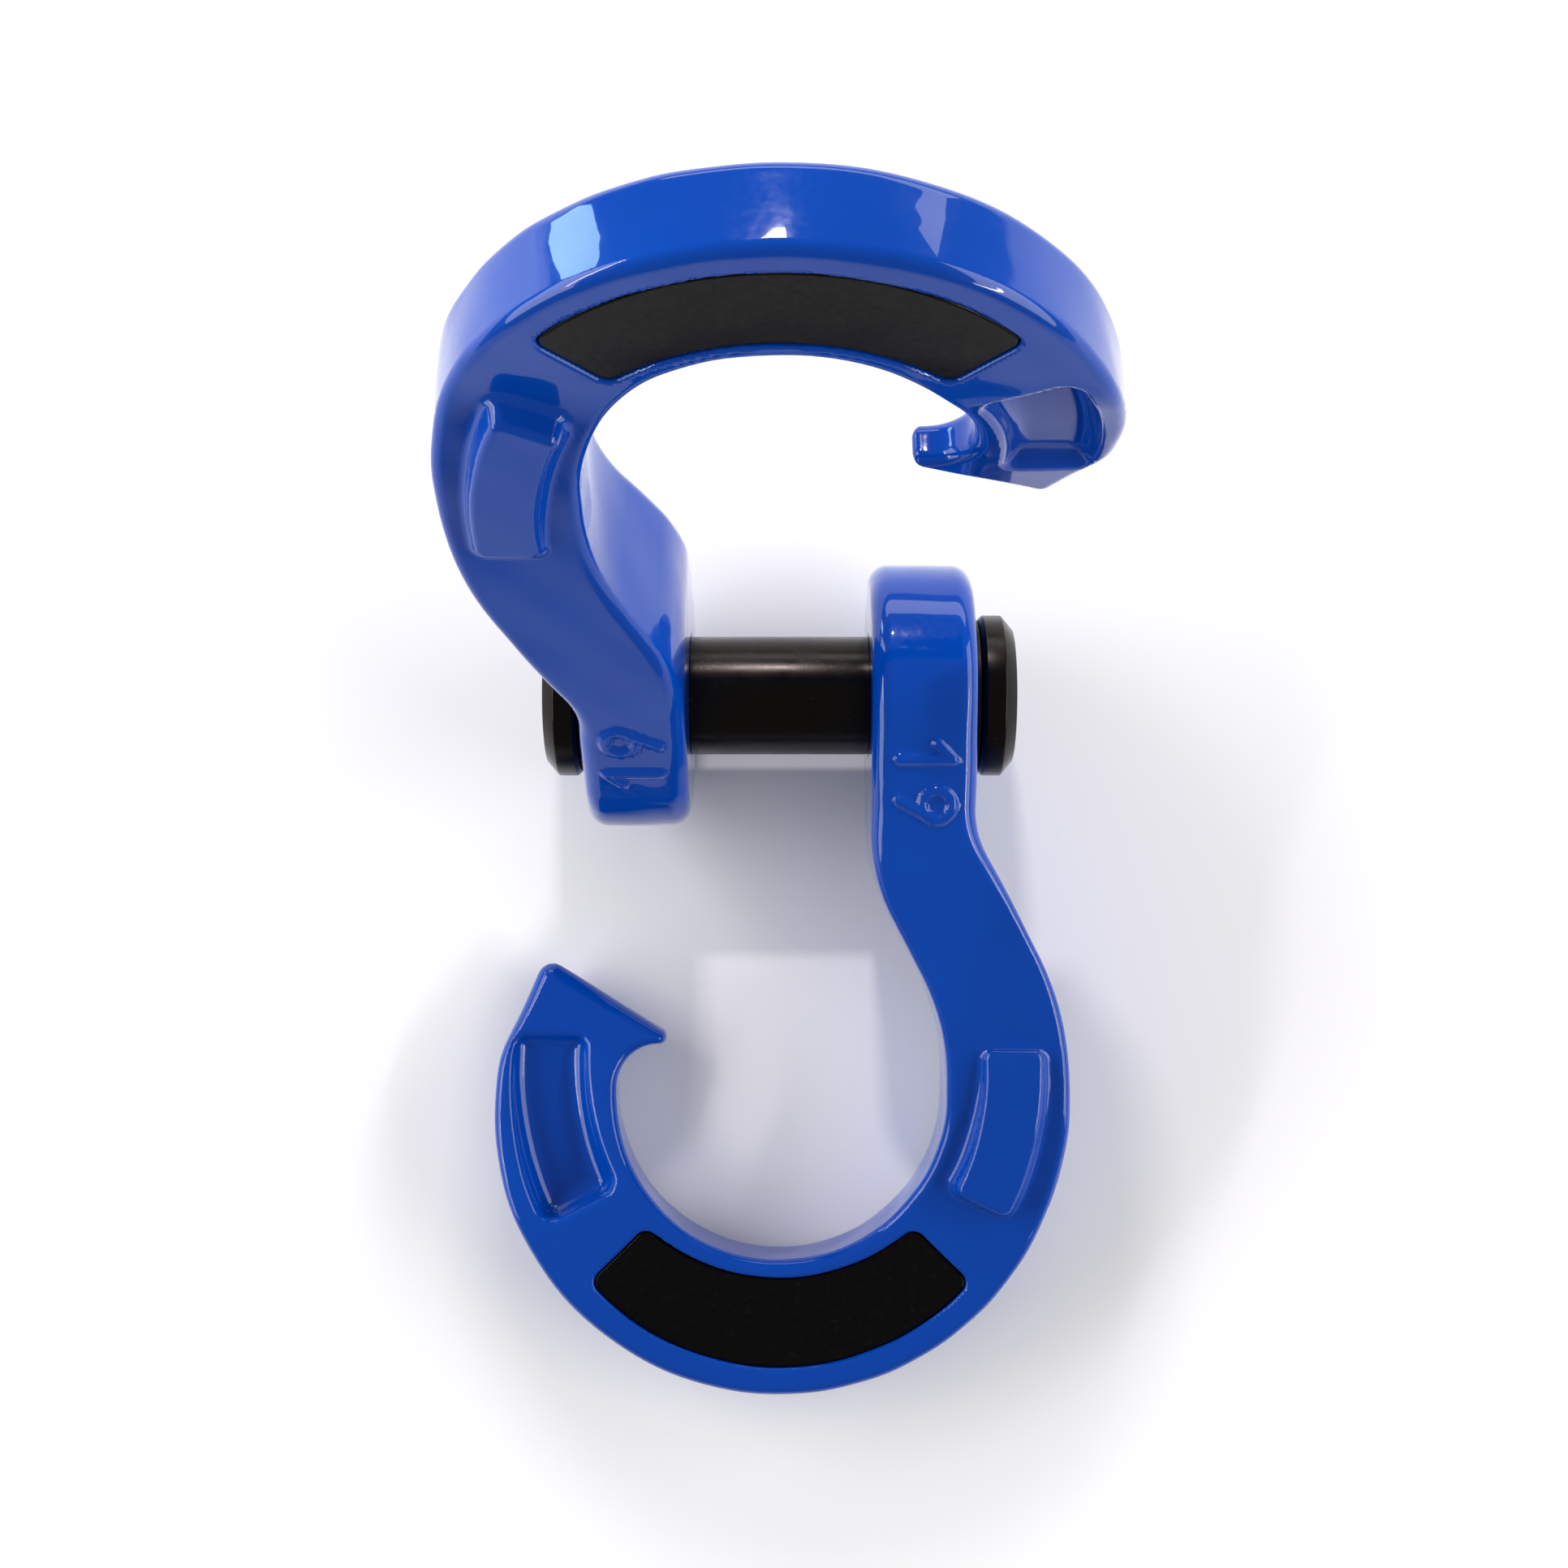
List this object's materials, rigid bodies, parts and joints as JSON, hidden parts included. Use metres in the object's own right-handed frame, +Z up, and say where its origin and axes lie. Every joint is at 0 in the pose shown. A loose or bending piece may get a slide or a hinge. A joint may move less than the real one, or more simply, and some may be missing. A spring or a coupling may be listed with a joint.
{
  "type": "split bow shackle",
  "caption": "Split bow shackle: matching hook-shaped halves hinged on a headed pin, shown swung open, that close face to face into a ring.",
  "frame": {"origin": "middle of the pin, on its axis", "axes": "+X along the pin towards the screwed-on cap; +Z up with the lower half lying on its back; +Y from the lower half's bow towards its eye"},
  "size_m": [0.1092, 0.1961, 0.1477],
  "materials": {
    "paint": "thick gloss royal blue powder coat over a forging",
    "plate": "smooth gloss black moulded plate",
    "black_steel": "turned steel, oiled black oxide, semi-gloss",
    "washer": "black oxide steel, satin"
  },
  "bodies": {
    "lower_half": {"lower_half": "paint", "lower_plate": "plate"},
    "upper_half": {"upper_half": "paint", "upper_plate": "plate"},
    "washer_left": {"washer_left": "washer"},
    "pin": {"pin": "black_steel"},
    "cap": {"pin_cap": "black_steel", "washer_right": "washer"}
  },
  "joints": [
    {"name": "upper_swing", "type": "hinge", "parent": "lower_half", "child": "upper_half", "pos_m": [0, 0, 0], "axis": [-1, 0, 0], "range_deg": [-115, 206]},
    {"name": "pin_spin", "type": "hinge", "parent": "lower_half", "child": "washer_left", "pos_m": [0, 0, 0], "axis": [1, 0, 0], "continuous": true},
    {"name": "pin_withdraw", "type": "slide", "parent": "washer_left", "child": "pin", "axis": [-1, 0, 0], "range_m": [0, 0.12]},
    {"name": "cap_release", "type": "slide", "parent": "washer_left", "child": "cap", "axis": [1, 0, 0], "range_m": [0, 0.06]}
  ],
  "couplings": [
    {"joint": "cap_release", "follows": "pin_withdraw", "ratio": 0.5}
  ]
}
